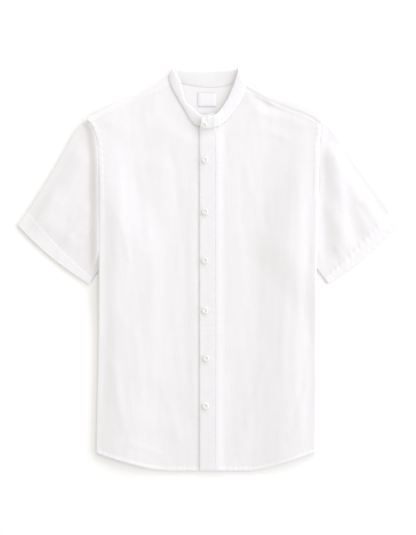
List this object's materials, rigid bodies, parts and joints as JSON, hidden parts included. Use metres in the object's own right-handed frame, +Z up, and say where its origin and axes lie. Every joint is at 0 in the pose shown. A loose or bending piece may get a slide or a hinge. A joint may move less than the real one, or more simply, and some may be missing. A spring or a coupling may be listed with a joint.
{
  "type": "mandarin collar shirt",
  "caption": "Short-sleeved button shirt with a stand collar, laid flat with its sides turned under, front up.",
  "frame": {"origin": "on the surface that the shirt lies on, under the middle of its bounding box, on the centre front", "axes": "+Z up, out of the front of the shirt; +Y from hem to collar; +X towards the wearer's left sleeve"},
  "size_m": [0.726, 0.7669, 0.0125],
  "materials": {
    "linen": "white slub linen, matt",
    "linen_band": "white linen in several layers with interlining, matt",
    "label": "white woven satin label, blank",
    "button": "pearly white, polished"
  },
  "bodies": {
    "root": {"back": "linen", "yoke": "linen", "front_left": "linen", "front_right": "linen", "placket": "linen_band", "sleeve_left": "linen", "sleeve_right": "linen", "collar_band": "linen_band", "label": "label", "button_1": "button", "button_2": "button", "button_3": "button", "button_4": "button", "button_5": "button", "button_6": "button", "button_7": "button"}
  },
  "joints": []
}
